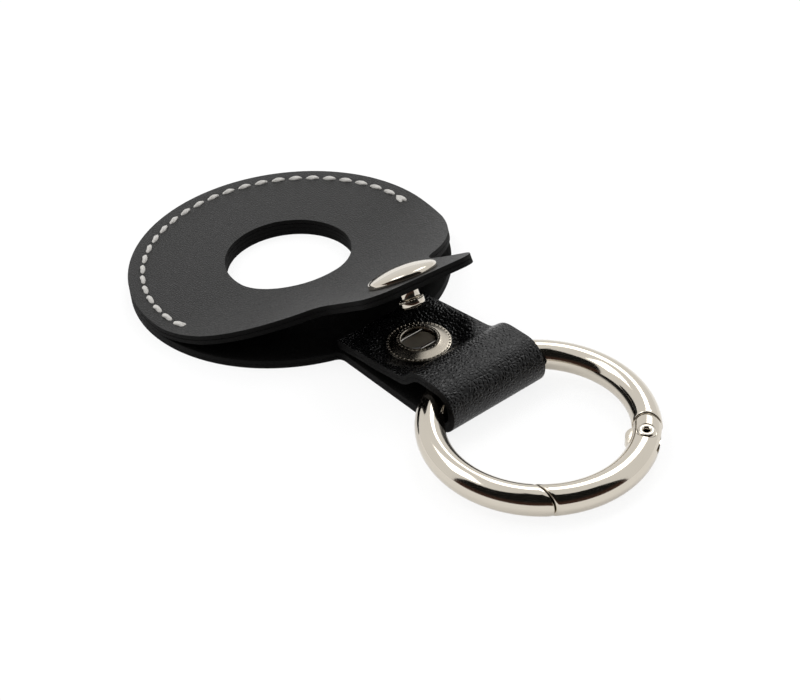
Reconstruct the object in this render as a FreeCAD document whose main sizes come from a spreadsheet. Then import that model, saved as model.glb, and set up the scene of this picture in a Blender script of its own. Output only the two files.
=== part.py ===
"""Tracker tag holder: a leather disc pocket with a snap tab, a strap loop and a gate ring.

Frame: origin at the disc's centre on the underside of the back panel, +X along the strap towards
the ring, +Z up.  The tab stands open at rest, and the far side of the ring touches the table.
"""
import FreeCAD, Part
import math
import os
import Sketcher

from FreeCAD import Vector

os.makedirs("parts", exist_ok=True)
doc = FreeCAD.newDocument("tag_holder")

# Driving dimensions, in millimetres and degrees
SIZES = [
    ("leather_thk", "0.6", "one layer of leather"),
    ("disc_radius", "22", "front and back discs"),
    ("window_radius", "8.8", "window through both discs"),
    ("strap_width", "14.5", "strap, tongue and loop"),
    ("strap_root_x", "16", "where the strap is let into the disc"),
    ("tongue_end_x", "20.3", "free end of the folded-over strap"),
    ("bend_clearance", "0.12", "gap at each bend line"),
    ("socket_margin", "0.03", "strap past the socket's flange, up to the bend"),
    ("crest_run", "3.62", "crest of the loop past its bend line"),
    ("loop_height", "6.4", "outside height of the loop"),
    ("loop_play", "0.35", "ring to the inside of the fold"),
    ("fold_gap", "0.2", "gap between the strap's two legs at the loop's neck"),
    ("root_bend", "4.85", "first bend line of the flap, from the disc's centre"),
    ("root_skew", "0.5", "turn of the first bend line about Z"),
    ("root_angle", "10.1", "flap raised at rest"),
    ("tab_bend", "14.36", "second bend line of the flap, from the disc's centre"),
    ("tab_skew", "-8.3", "turn of the second bend line about Z"),
    ("tab_angle", "21.8", "tab raised from the flap at rest"),
    ("flap_lift", "0.15", "flap above the back panel at its bend"),
    ("tab_width", "16.6", "closing tab"),
    ("tab_root_x", "16", "where the tab leaves the disc"),
    ("tab_tip_x", "33.4", "tip of the tab, laid flat"),
    ("tab_corner", "3.4", "rounding of the tip's corners"),
    ("tab_fillet", "3.2", "rounding between the tab and the disc"),
    ("stitch_margin", "2", "stitches in from the disc's edge"),
    ("stitch_count", "27", "stitches in the row"),
    ("stitch_start", "87.5", "angle of the first stitch hole"),
    ("stitch_arc", "194.4", "angle from the first hole to the last"),
    ("stitch_gap", "0.3", "bare leather between two stitches"),
    ("stitch_height", "0.3", "stitch above the leather"),
    ("thread_width", "0.7", "stitch across its length"),
    ("thread_leg_radius", "0.3", "thread in a hole"),
    ("groove_width", "0.9", "channel of the lower stitches"),
    ("socket_x", "27.7", "snap socket, and the laid-flat tab's stud, from the disc's centre"),
    ("socket_radius", "4.13", "socket flange"),
    ("socket_edge", "0.3", "socket flange at its edge"),
    ("socket_height", "0.9", "socket above the strap"),
    ("socket_crown", "2.95", "radius of the socket's raised rim"),
    ("socket_hole", "2.2", "radius of the socket's hole"),
    ("socket_lip", "0.25", "lip over the spring"),
    ("spring_floor", "0.2", "floor under the spring"),
    ("spring_slot", "3", "radius of the spring's slot"),
    ("spring_wire", "0.18", "radius of the spring's wire"),
    ("spring_bar", "1.55", "bars from the socket's axis"),
    ("spring_play", "0.1", "spring inside its slot"),
    ("barrel_radius", "2.55", "eyelet barrel through the straps"),
    ("barrel_wall", "0.35", "wall of the barrel"),
    ("flange_radius", "4", "eyelet flange under the strap"),
    ("flange_thk", "0.3", "eyelet flange, let into the leather"),
    ("fit_clearance", "0.05", "punched holes round the metal"),
    ("cap_radius", "4.5", "snap cap"),
    ("cap_height", "1.6", "crown of the cap"),
    ("cap_wall", "0.3", "sheet of the cap"),
    ("post_radius", "0.9", "rivet through the tab"),
    ("post_head", "3.2", "rivet head under the cap"),
    ("post_head_thk", "0.25", "thickness of the rivet head"),
    ("post_depth", "1.2", "rivet into the stud"),
    ("stud_base", "2", "radius of the stud's base"),
    ("stud_base_thk", "0.45", "thickness of the stud's base"),
    ("stud_neck", "1.25", "radius of the stud's neck"),
    ("stud_neck_length", "0.9", "length of the neck"),
    ("stud_head", "1.7", "radius of the stud's head"),
    ("stud_taper", "0.25", "slope at both ends of the head"),
    ("stud_head_length", "0.8", "straight length of the head"),
    ("stud_tip", "1.2", "radius of the stud's end face"),
    ("ring_radius", "12.6", "centre line of the ring"),
    ("wire_radius", "1.8", "ring wire"),
    ("ring_rest", "0.2", "ring above the strap's lining"),
    ("pin_angle", "34.7", "gate pin on the ring"),
    ("hinge_seam", "48.6", "seam between the ring and the gate's heel"),
    ("tip_angle", "-40", "seam at the gate's tip"),
    ("seam_gap", "0.2", "gap in both seams"),
    ("seam_overrun", "10", "arc cut back to the slanted seam"),
    ("tongue_thk", "1.3", "hinge tongue"),
    ("tongue_width", "2.6", "hinge tongue across"),
    ("tongue_radius", "1.65", "round end of the tongue"),
    ("tongue_shift", "0.75", "round end in from the pin, towards the ring's centre"),
    ("tongue_root", "1", "tongue let into the ring"),
    ("slot_clearance", "0.08", "tongue in the gate's slot"),
    ("pin_radius", "0.6", "gate pin"),
    ("pin_running", "0.05", "gate on its pin"),
    ("pin_bore", "0.35", "bore of the tubular pin"),
    ("pin_head", "1.05", "radius of the pin's heads"),
    ("pin_head_depth", "0.35", "head let into the gate"),
    ("pin_proud", "0.05", "head above the wire"),
    ("leaf_length", "3.4", "leaf spring in the gate"),
    ("leaf_width", "1.1", "leaf spring across"),
    ("leaf_thk", "0.3", "thickness of the leaf"),
    ("leaf_turn", "20", "arc of the gate over the leaf"),
    ("block", "8", "cutting blocks at the seams"),
]
dims = doc.addObject("Spreadsheet::Sheet", "dims")
for row, (alias, size, meaning) in enumerate(SIZES, start=1):
    dims.set("A%d" % row, meaning)
    dims.set("B%d" % row, size)
    dims.setAlias("B%d" % row, alias)
doc.recompute()

# Heights and poses that several pieces share
MID = "2 * dims.leather_thk"
FLAP_MID = "3 * dims.leather_thk"
TOP = "4 * dims.leather_thk"
STITCH_PITCH = "dims.stitch_arc / dims.stitch_count"
STITCH_RADIUS = "(dims.disc_radius - dims.stitch_margin)"
STITCH_LENGTH = "%s * %s * pi / 180 - dims.stitch_gap" % (STITCH_RADIUS, STITCH_PITCH)
STRAP_END = "(dims.socket_x + dims.socket_radius + dims.socket_margin)"
NECK_RADIUS = "(2 * dims.leather_thk + dims.fold_gap / 2)"
LOOP_AXIS = "(%s + dims.bend_clearance + %s)" % (STRAP_END, NECK_RADIUS)
CREST_X = "(%s + dims.crest_run)" % LOOP_AXIS
RING_X = "(%s + dims.ring_radius)" % CREST_X
CUT_SPAN = "(4 * dims.disc_radius)"
UNTURNED = "rotation(vector(0; 0; 1); 0)"


def turn_z(angle):
    return "placement(vector(0; 0; 0); rotation(vector(0; 0; 1); %s))" % angle


def move(x, y, z):
    return "placement(vector(%s; %s; %s); %s)" % (x, y, z, UNTURNED)


def bend_pose(lift, distance, skew, angle):
    """The turn of a plate about its bend line, which lies in the middle of the front panel."""
    axis = "vector(-sin({0}); cos({0}); 0)".format(skew)
    centre = "vector({0} * cos({1}); {0} * sin({1}); {2})".format(distance, skew, FLAP_MID)
    return "placement(vector(0; 0; %s); rotation(%s; -%s); %s)" % (lift, axis, angle, centre)


FLAP_POSE = bend_pose("dims.flap_lift", "dims.root_bend", "dims.root_skew", "dims.root_angle")
TAB_POSE = FLAP_POSE + " * " + bend_pose("0", "dims.tab_bend", "dims.tab_skew", "dims.tab_angle")
SOCKET_POSE = move("dims.socket_x", 0, 0)
CAP_POSE = TAB_POSE + " * " + SOCKET_POSE
RING_DROP = "(2 * dims.leather_thk + dims.ring_rest) / 2"
RING_TILT = "rotation(vector(0; 1; 0); asin(%s / dims.ring_radius))" % RING_DROP
RING_POSE = "placement(vector(%s; 0; dims.wire_radius + %s); %s)" % (RING_X, RING_DROP, RING_TILT)
parts = []


def value(expression):
    return float(dims.evalExpression(str(expression)))


def bind(item, **expressions):
    for name, expression in expressions.items():
        item.setExpression(name, str(expression))
    return item


def pose(item, expression):
    item.setExpression("Placement", expression)
    return item


def sub_part(item, label):
    item.Label = label
    parts.append(item)
    return item


def new_body(label):
    return doc.addObject("PartDesign::Body", label)


def solid(body, kind, name, place=None, **expressions):
    """A primitive added to or cut from a body, placed in the body's own frame."""
    item = bind(body.newObject("PartDesign::" + kind, name), **expressions)
    return pose(item, place) if place else item


def primitive(kind, name, place=None, **expressions):
    item = bind(doc.addObject("Part::" + kind, name), **expressions)
    return pose(item, place) if place else item


def combine(kind, name, shapes):
    item = doc.addObject("Part::" + kind, name)
    item.Shapes = shapes
    return item


def cut(name, base, *tools):
    """The base with each tool cut from it in turn."""
    for number, tool in enumerate(tools, start=1):
        item = doc.addObject("Part::Cut", name if tool is tools[-1] else "%s_cut_%d" % (name, number))
        item.Base = base
        item.Tool = tool
        base = item
    return base


def axis_of(body, role):
    return next(item for item in body.Origin.OriginFeatures if item.Role == role)


def polar(body, name, originals, angle, count):
    pattern = body.newObject("PartDesign::PolarPattern", name)
    pattern.Originals = originals
    pattern.Axis = (axis_of(body, "Z_Axis"), [""])
    bind(pattern, Angle=angle, Occurrences=count)
    body.Tip = pattern
    return pattern


def turned(label, points, place):
    """A body turned about Z from a profile of (radius, height) corners."""
    body = new_body(label)
    sketch = body.newObject("Sketcher::SketchObject", label + "_profile")
    sketch.AttachmentSupport = (axis_of(body, "XZ_Plane"), [""])
    sketch.MapMode = "FlatFace"
    corners = [Vector(value(radius), value(height), 0) for radius, height in points]
    count = len(corners)
    for index in range(count):
        sketch.addGeometry(Part.LineSegment(corners[index], corners[(index + 1) % count]))
    for index in range(count):
        sketch.addConstraint(Sketcher.Constraint("Coincident", index, 2, (index + 1) % count, 1))
    for index, (radius, height) in enumerate(points):
        place_point(sketch, "corner_%d" % index, index, 1, radius, height)
    revolution = body.newObject("PartDesign::Revolution", label + "_turned")
    revolution.Profile = sketch
    revolution.ReferenceAxis = (axis_of(body, "Z_Axis"), [""])
    pose(body, place)
    return sub_part(body, label)


def place_point(sketch, name, geometry, point, x, y):
    """Ties a point of a sketch to two expressions, or to an axis where the expression is 0."""
    for kind, axis, size in (("DistanceX", -2, x), ("DistanceY", -1, y)):
        if str(size) == "0":
            sketch.addConstraint(Sketcher.Constraint("PointOnObject", geometry, point, axis))
            continue
        index = sketch.addConstraint(Sketcher.Constraint(kind, -1, 1, geometry, point, value(size)))
        sketch.renameConstraint(index, name + kind[-1])
        sketch.setExpression("Constraints." + name + kind[-1], size)


# Back panel, tongue and loop
def stitch_holes(body):
    place = turn_z("dims.stitch_start") + " * " + move(STITCH_RADIUS, 0, 0)
    hole = solid(body, "SubtractiveCylinder", "stitch_hole", place,
                 Radius="dims.thread_leg_radius + dims.fit_clearance", Height="dims.leather_thk")
    polar(body, "stitch_holes", [hole], "dims.stitch_arc", "dims.stitch_count + 1")


def stitch_channel(body):
    """A flat channel under the back that keeps the lower stitches off the table."""
    past = "2 * dims.thread_width / %s * 180 / pi" % STITCH_RADIUS
    place = turn_z("dims.stitch_start - " + past)
    sweep = "dims.stitch_arc + 2 * " + past
    solid(body, "SubtractiveCylinder", "channel_outside", place, Height="dims.stitch_height",
          Radius=STITCH_RADIUS + " + dims.groove_width / 2", Angle=sweep)
    solid(body, "AdditiveCylinder", "channel_inside", place, Height="dims.stitch_height",
          Radius=STITCH_RADIUS + " - dims.groove_width / 2", Angle=sweep)


def strap_strip(body, start):
    strip = solid(body, "AdditiveBox", "strap", move(start, "-dims.strap_width / 2", 0),
                  Width="dims.strap_width", Height="dims.leather_thk")
    bind(strip, Length="%s - %s" % (STRAP_END, start))
    solid(body, "SubtractiveCylinder", "eyelet_hole", SOCKET_POSE, Height="dims.leather_thk",
          Radius="dims.barrel_radius + dims.fit_clearance")


def back_panel(label, height, outside):
    body = new_body(label)
    solid(body, "AdditiveCylinder", "disc", Radius="dims.disc_radius", Height="dims.leather_thk")
    if outside:
        stitch_channel(body)
    strap_strip(body, "dims.strap_root_x")
    if outside:
        solid(body, "SubtractiveCylinder", "flange_recess", SOCKET_POSE, Height="dims.flange_thk",
              Radius="dims.flange_radius + dims.fit_clearance")
    solid(body, "SubtractiveCylinder", "window", Radius="dims.window_radius", Height="dims.leather_thk")
    stitch_holes(body)
    pose(body, move(0, 0, height))
    return sub_part(body, label)


def tongue(label, height):
    body = new_body(label)
    strap_strip(body, "dims.tongue_end_x")
    pose(body, move(0, 0, height))
    return sub_part(body, label)


def loop_prism(name, depth):
    """The loop's side profile, drawn in from the outside by depth: three arcs and three tangents."""
    neck_radius = "%s - %s" % (NECK_RADIUS, depth)
    fold_radius = "dims.loop_height / 2 - %s" % depth
    inner_reach = "sqrt((dims.ring_radius - dims.wire_radius)^2 - (dims.strap_width / 2)^2)"
    fold_end = "%s - %s + dims.loop_play - dims.loop_height / 2 + %s" % (RING_X, inner_reach, MID)
    circles = [
        ("fold", fold_end, "dims.loop_height / 2", fold_radius),
        ("crest", CREST_X, "dims.loop_height / 2", fold_radius),
        ("neck", LOOP_AXIS, NECK_RADIUS, neck_radius),
    ]
    centres = [Vector(value(x), value(z), 0) for _, x, z, _ in circles]
    radii = [value(radius) for _, _, _, radius in circles]
    leg = centres[1] - centres[2]
    slope = math.atan2(leg.y, leg.x) + math.acos((radii[2] - radii[1]) / leg.Length)
    quarter = math.pi / 2
    spans = [(-quarter, quarter), (quarter, slope), (slope, 3 * quarter)]
    sketch = doc.addObject("Sketcher::SketchObject", name + "_profile")
    sketch.Placement = FreeCAD.Placement(Vector(), FreeCAD.Rotation(Vector(1, 0, 0), 90))
    arcs = []
    for centre, radius, span in zip(centres, radii, spans):
        arcs.append(Part.ArcOfCircle(Part.Circle(centre, Vector(0, 0, 1), radius), *span))
    for index, arc in enumerate(arcs):
        sketch.addGeometry(arc)
        sketch.addGeometry(Part.LineSegment(arc.EndPoint, arcs[(index + 1) % 3].StartPoint))
    for index in range(6):
        sketch.addConstraint(Sketcher.Constraint("Tangent", index, 2, (index + 1) % 6, 1))
    for index, (part_name, x, z, radius) in enumerate(circles):
        place_point(sketch, part_name, 2 * index, 3, x, z)
        number = sketch.addConstraint(Sketcher.Constraint("Radius", 2 * index, value(radius)))
        sketch.renameConstraint(number, part_name + "_radius")
        sketch.setExpression("Constraints.%s_radius" % part_name, radius)
    prism = doc.addObject("Part::Extrusion", name)
    prism.Base = sketch
    prism.DirMode = "Normal"
    prism.Solid = True
    prism.Symmetric = True
    return bind(prism, LengthFwd="dims.strap_width")


back_panel("back_outer", 0, True)
back_panel("back_lining", "dims.leather_thk", False)
tongue("tongue_lining", MID)
tongue("tongue_outer", FLAP_MID)
loop_skins = [loop_prism("loop_%d" % layer, "%d * dims.leather_thk" % layer) for layer in range(3)]
sub_part(cut("loop_outer", loop_skins[0], loop_skins[1]), "loop_outer")
sub_part(cut("loop_lining", loop_skins[1], loop_skins[2]), "loop_lining")


# Front panel: one blank per layer, parted at the two bend lines
def corner_edges(shape, x, y):
    """Names of the upright edges at (x, y) and (x, -y)."""
    names = []
    for number, edge in enumerate(shape.Edges, start=1):
        ends = [vertex.Point for vertex in edge.Vertexes]
        at_corner = all(math.hypot(end.x - x, abs(end.y) - y) < shape.getTolerance(1) for end in ends)
        if at_corner and ends[0].y * ends[-1].y > 0:
            names.append("Edge%d" % number)
    return names


def round_corners(body, name, base, x, y, radius):
    doc.recompute()
    fillet = body.newObject("PartDesign::Fillet", name)
    fillet.Base = (base, corner_edges(base.Shape, x, y))
    return bind(fillet, Radius=radius)


def front_blank(label, height):
    body = new_body(label)
    solid(body, "AdditiveCylinder", "disc", Radius="dims.disc_radius", Height="dims.leather_thk")
    tab = solid(body, "AdditiveBox", "tab", move("dims.tab_root_x", "-dims.tab_width / 2", 0),
                Length="dims.tab_tip_x - dims.tab_root_x", Width="dims.tab_width",
                Height="dims.leather_thk")
    half = value("dims.tab_width / 2")
    neck = value("sqrt(dims.disc_radius^2 - (dims.tab_width / 2)^2)")
    tip = round_corners(body, "tip_corners", tab, value("dims.tab_tip_x"), half, "dims.tab_corner")
    round_corners(body, "tab_fillets", tip, neck, half, "dims.tab_fillet")
    solid(body, "SubtractiveCylinder", "window", Radius="dims.window_radius", Height="dims.leather_thk")
    solid(body, "SubtractiveCylinder", "post_hole", SOCKET_POSE,
          Radius="dims.post_radius + dims.fit_clearance", Height="dims.leather_thk")
    stitch_holes(body)
    return pose(body, move(0, 0, height))


def half_space(name, skew, start):
    half = "-%s / 2" % CUT_SPAN
    place = turn_z(skew) + " * " + move(start, half, half)
    return primitive("Box", name, place, Length=CUT_SPAN, Width=CUT_SPAN, Height=CUT_SPAN)


def rounded_start(name, skew, distance):
    """All that lies past a bend line, with a round nose on the line."""
    laid = "placement(vector(%s; -%s / 2; %s); rotation(vector(1; 0; 0); -90))" % (
        distance, CUT_SPAN, FLAP_MID)
    nose = primitive("Cylinder", name + "_nose", turn_z(skew) + " * " + laid,
                     Radius="dims.leather_thk", Height=CUT_SPAN)
    return combine("MultiFuse", name, [half_space(name + "_past", skew, distance), nose])


PLATE_GAP = "(dims.leather_thk + dims.bend_clearance)"
front_zone = half_space("front_zone", "dims.root_skew",
                        "dims.root_bend - %s - %s" % (PLATE_GAP, CUT_SPAN))
flap_end = half_space("flap_end", "dims.tab_skew", "dims.tab_bend - %s - %s" % (PLATE_GAP, CUT_SPAN))
flap_start = rounded_start("flap_start", "dims.root_skew", "dims.root_bend")
tab_start = rounded_start("tab_start", "dims.tab_skew", "dims.tab_bend")
for layer, height in (("lining", MID), ("outer", FLAP_MID)):
    blank = front_blank("blank_" + layer, height)
    sub_part(combine("MultiCommon", "front_" + layer, [blank, front_zone]), "front_" + layer)
    flap = combine("MultiCommon", "flap_" + layer, [blank, flap_start, flap_end])
    sub_part(pose(flap, FLAP_POSE), "flap_" + layer)
    tab = combine("MultiCommon", "tab_" + layer, [blank, tab_start])
    sub_part(pose(tab, TAB_POSE), "tab_" + layer)


# Thread
def stitch_row(label, foot, base, low, high, leg_length):
    """A row of stitches, each half an ellipsoid from base, and the legs between them from foot."""
    legs = new_body(label + "_legs")
    leg = solid(legs, "AdditiveCylinder", "leg",
                turn_z("dims.stitch_start") + " * " + move(STITCH_RADIUS, 0, foot),
                Radius="dims.thread_leg_radius", Height=leg_length)
    polar(legs, "leg_row", [leg], "dims.stitch_arc", "dims.stitch_count + 1")
    stitches = new_body(label + "_stitches")
    middle = "dims.stitch_start + %s / 2" % STITCH_PITCH
    laid = "placement(vector(%s * cos(%s / 2); 0; %s); rotation(vector(0; 0; 1); 90))" % (
        STITCH_RADIUS, STITCH_PITCH, base)
    stitch = solid(stitches, "AdditiveEllipsoid", "stitch", turn_z(middle) + " * " + laid,
                   Radius1="dims.stitch_height", Radius2="(%s) / 2" % STITCH_LENGTH,
                   Radius3="dims.thread_width / 2", Angle1=low, Angle2=high)
    polar(stitches, "stitch_row", [stitch], "dims.stitch_arc - " + STITCH_PITCH, "dims.stitch_count")
    row = doc.addObject("Part::Compound", label)
    row.Links = [legs, stitches]
    return sub_part(row, label)


stitch_row("top_thread", MID, TOP, 0, 90, MID)
stitch_row("bobbin_thread", "dims.stitch_height", "dims.stitch_height", -90, 0,
           MID + " - dims.stitch_height")

# Snap socket on the strap
BORE = "dims.barrel_radius - dims.barrel_wall"
SHELL_INSIDE = "dims.barrel_radius + dims.fit_clearance"
SHELL_FLOOR = TOP + " + dims.spring_floor"
SHELL_TOP = TOP + " + dims.socket_height"
SHELL_LIP = SHELL_TOP + " - dims.socket_lip"
turned("socket_post", [
    (BORE, 0), ("dims.flange_radius", 0), ("dims.flange_radius", "dims.flange_thk"),
    ("dims.barrel_radius", "dims.flange_thk"), ("dims.barrel_radius", SHELL_FLOOR), (BORE, SHELL_FLOOR),
], SOCKET_POSE)
turned("socket_shell", [
    (SHELL_INSIDE, TOP), ("dims.socket_radius", TOP), ("dims.socket_radius", TOP + " + dims.socket_edge"),
    ("dims.socket_crown", SHELL_TOP), ("dims.socket_hole", SHELL_TOP), ("dims.socket_hole", SHELL_LIP),
    ("dims.spring_slot", SHELL_LIP), ("dims.spring_slot", SHELL_FLOOR), (SHELL_INSIDE, SHELL_FLOOR),
], SOCKET_POSE)


def socket_spring():
    """A hairpin whose two bars grip the stud's neck."""
    level = "%s + (dims.spring_floor + dims.socket_height - dims.socket_lip) / 2" % TOP
    bend_x = "(dims.spring_slot - dims.spring_bar - dims.spring_wire - dims.spring_play)"
    reach = "sqrt(dims.spring_slot^2 - (dims.spring_bar + dims.spring_wire)^2) - dims.spring_play"
    bend = primitive("Torus", "spring_bend", move("-" + bend_x, 0, level) + " * " + turn_z(90),
                     Radius1="dims.spring_bar", Radius2="dims.spring_wire", Angle3=180)
    bars = []
    for side in ("", "-"):
        laid = "placement(vector(-%s; %sdims.spring_bar; %s); rotation(vector(0; 1; 0); 90))" % (
            bend_x, side, level)
        bars.append(primitive("Cylinder", "spring_bar", laid, Radius="dims.spring_wire",
                              Height="%s + %s" % (reach, bend_x)))
    spring = combine("MultiFuse", "socket_spring", [bend] + bars)
    return sub_part(pose(spring, SOCKET_POSE + " * " + turn_z(90)), "socket_spring")


socket_spring()


# Snap stud on the tab
def snap_cap():
    body = new_body("snap_cap")
    place = move(0, 0, TOP)
    solid(body, "AdditiveEllipsoid", "crown", place, Radius1="dims.cap_height",
          Radius2="dims.cap_radius", Angle1=0, Angle2=90)
    solid(body, "SubtractiveEllipsoid", "hollow", place, Radius1="dims.cap_height - dims.cap_wall",
          Radius2="dims.cap_radius - dims.cap_wall", Angle1=0, Angle2=90)
    return sub_part(pose(body, CAP_POSE), "snap_cap")


def cap_post():
    body = new_body("cap_post")
    solid(body, "AdditiveCylinder", "shank", move(0, 0, MID + " - dims.post_depth"),
          Radius="dims.post_radius", Height="2 * dims.leather_thk + dims.post_depth")
    solid(body, "AdditiveCylinder", "head", move(0, 0, TOP), Radius="dims.post_head",
          Height="dims.post_head_thk")
    return sub_part(pose(body, CAP_POSE), "cap_post")


snap_cap()
cap_post()
STUD_BASE = MID + " - dims.stud_base_thk"
STUD_NECK = STUD_BASE + " - dims.stud_neck_length"
STUD_HEAD = STUD_NECK + " - dims.stud_taper"
STUD_FOOT = STUD_HEAD + " - dims.stud_head_length"
STUD_TIP = STUD_FOOT + " - dims.stud_taper"
STUD_BORE = MID + " - dims.post_depth"
turned("snap_stud", [
    ("dims.post_radius", MID), ("dims.stud_base", MID), ("dims.stud_base", STUD_BASE),
    ("dims.stud_neck", STUD_BASE), ("dims.stud_neck", STUD_NECK), ("dims.stud_head", STUD_HEAD),
    ("dims.stud_head", STUD_FOOT), ("dims.stud_tip", STUD_TIP), (0, STUD_TIP), (0, STUD_BORE),
    ("dims.post_radius", STUD_BORE),
], CAP_POSE)

# Gate ring, in its own frame: the ring lies in XY round the origin
PIN_POINT = "vector(dims.ring_radius * cos(dims.pin_angle); dims.ring_radius * sin(dims.pin_angle); 0)"
PIN = "placement(" + PIN_POINT + "; %s)"
AT_PIN = PIN % UNTURNED
HINGE_WAY = "(dims.pin_angle + dims.hinge_seam) / 2 + 90"
AT_HINGE = PIN % ("rotation(vector(0; 0; 1); %s)" % HINGE_WAY)
AT_TIP = PIN % "rotation(vector(0; 0; 1); (dims.pin_angle + dims.tip_angle) / 2 - 90)"
AT_LEAF = PIN % "rotation(vector(0; 0; 1); dims.pin_angle - dims.leaf_turn / 2 - 90)"
GATE_CHORD = "2 * dims.ring_radius * sin((dims.pin_angle - dims.tip_angle) / 2)"
HINGE_CHORD = "2 * dims.ring_radius * sin((dims.hinge_seam - dims.pin_angle) / 2)"
SLOT_RADIUS = "(dims.tongue_shift + dims.tongue_radius + dims.slot_clearance)"
HALF_SEAM_TURN = "dims.seam_gap / 2 / dims.ring_radius * 180 / pi"


def wire_arc(name, start, sweep):
    return primitive("Torus", name, turn_z(start), Radius1="dims.ring_radius",
                     Radius2="dims.wire_radius", Angle3=sweep)


def pin_cylinder(name, radius, height, low=None):
    foot = low or "-(%s) / 2" % height
    return primitive("Cylinder", name, AT_PIN + " * " + move(0, 0, foot), Radius=radius, Height=height)


def block(name, frame, x, length, width, height, y=None):
    corner = y if y is not None else "-(%s) / 2" % width
    place = frame + " * " + move(x, corner, "-(%s) / 2" % height)
    return primitive("Box", name, place, Length=length, Width=width, Height=height)


def tip_block(name, start):
    return block(name, AT_TIP, start, "dims.block", "dims.block", "dims.block")


def ring_body():
    start = "dims.hinge_seam + " + HALF_SEAM_TURN
    sweep = "360 + dims.tip_angle + dims.seam_overrun - (%s)" % start
    arc = cut("ring_arc", wire_arc("ring_wire", start, sweep),
              tip_block("ring_tip_block", GATE_CHORD + " + dims.seam_gap / 2 - dims.block"))
    tongue_bar = block("tongue_bar", AT_HINGE, 0, HINGE_CHORD + " + dims.tongue_root",
                       "dims.tongue_width", "dims.tongue_thk")
    inwards = PIN % "rotation(vector(0; 0; 1); dims.pin_angle)"
    end_place = inwards + " * " + move("-dims.tongue_shift", 0, "-dims.tongue_thk / 2")
    tongue_end = primitive("Cylinder", "tongue_end", end_place, Radius="dims.tongue_radius",
                           Height="dims.tongue_thk")
    blank = combine("MultiFuse", "ring_blank", [arc, tongue_bar, tongue_end])
    hole = pin_cylinder("tongue_hole", "dims.pin_radius", "dims.tongue_thk")
    return sub_part(pose(cut("ring_body", blank, hole), RING_POSE), "ring_body")


def ring_gate():
    start = "dims.tip_angle - dims.seam_overrun"
    arc = wire_arc("gate_wire", start, "dims.hinge_seam - %s - (%s)" % (HALF_SEAM_TURN, start))
    slot_thk = "dims.tongue_thk + 2 * dims.slot_clearance"
    heel_radius = "dims.ring_radius * sin(dims.hinge_seam - dims.pin_angle) - dims.seam_gap"
    head_seat = "dims.wire_radius - dims.pin_head_depth"
    heel_block = block("heel_block", AT_HINGE, 0, "dims.block", "dims.block", "dims.block", 0)
    relief = cut("heel_relief", heel_block, pin_cylinder("heel_round", heel_radius, "dims.block"))
    tools = [
        tip_block("gate_tip_block", GATE_CHORD + " - dims.seam_gap / 2"),
        relief,
        block("gate_slot", AT_HINGE, 0, "dims.block", "dims.block", slot_thk),
        pin_cylinder("gate_slot_end", SLOT_RADIUS, slot_thk),
        pin_cylinder("gate_pin_hole", "dims.pin_radius + dims.pin_running", "dims.block"),
        pin_cylinder("upper_head_seat", "dims.pin_head + dims.pin_running", "dims.block", head_seat),
        pin_cylinder("lower_head_seat", "dims.pin_head + dims.pin_running", "dims.block",
                     "-dims.block - (%s)" % head_seat),
        leaf("leaf_pocket", AT_LEAF),
    ]
    gate = cut("ring_gate", arc, *tools)
    return sub_part(pose(gate, RING_POSE), "ring_gate")


def leaf(name, frame):
    return block(name, frame, SLOT_RADIUS, "dims.leaf_length", "dims.leaf_thk", "dims.leaf_width")


def gate_pin():
    seat = "(dims.wire_radius - dims.pin_head_depth)"
    thick = "dims.pin_head_depth + dims.pin_proud"
    pieces = [
        pin_cylinder("pin_shank", "dims.pin_radius", "2 * " + seat),
        pin_cylinder("pin_upper_head", "dims.pin_head", thick, seat),
        pin_cylinder("pin_lower_head", "dims.pin_head", thick, "-(%s) - %s" % (thick, seat)),
    ]
    bore = pin_cylinder("pin_bore", "dims.pin_bore", "dims.block")
    pin = cut("gate_pin", combine("MultiFuse", "pin_blank", pieces), bore)
    return sub_part(pose(pin, RING_POSE), "gate_pin")


ring_body()
ring_gate()
gate_pin()
sub_part(leaf("gate_spring", RING_POSE + " * " + AT_LEAF), "gate_spring")

# Checks and export
doc.recompute()
for item in doc.Objects:
    if "Invalid" in item.State or "Error" in item.State:
        raise RuntimeError("%s failed: %s" % (item.Label, item.State))
for item in parts:
    shape = item.Shape
    if shape.isNull() or not shape.isValid() or not shape.Solids:
        raise RuntimeError("%s has no valid solid" % item.Label)
    print("%-15s %d solid, %.2f mm3" % (item.Label, len(shape.Solids), shape.Volume))
for item in parts:
    item.Shape.exportStep("parts/%s.step" % item.Label)
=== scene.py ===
# %% [markdown]
# A leather holder for a coin-shaped tracker tag
#
# The real object is a small black leather pocket: two stitched discs with a round window, a tab
# that snaps down over a strap, and a polished ring with a sprung gate in the strap's fold.
# The CAD model is loaded first as a fixed frame.  Every piece made below is in metres, in the
# same frame: the origin is the disc's centre on the table, +X runs along the strap, +Z is up.

# %% Load the frame
import math

import bpy
import numpy as np
from mathutils import Matrix, Vector


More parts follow.
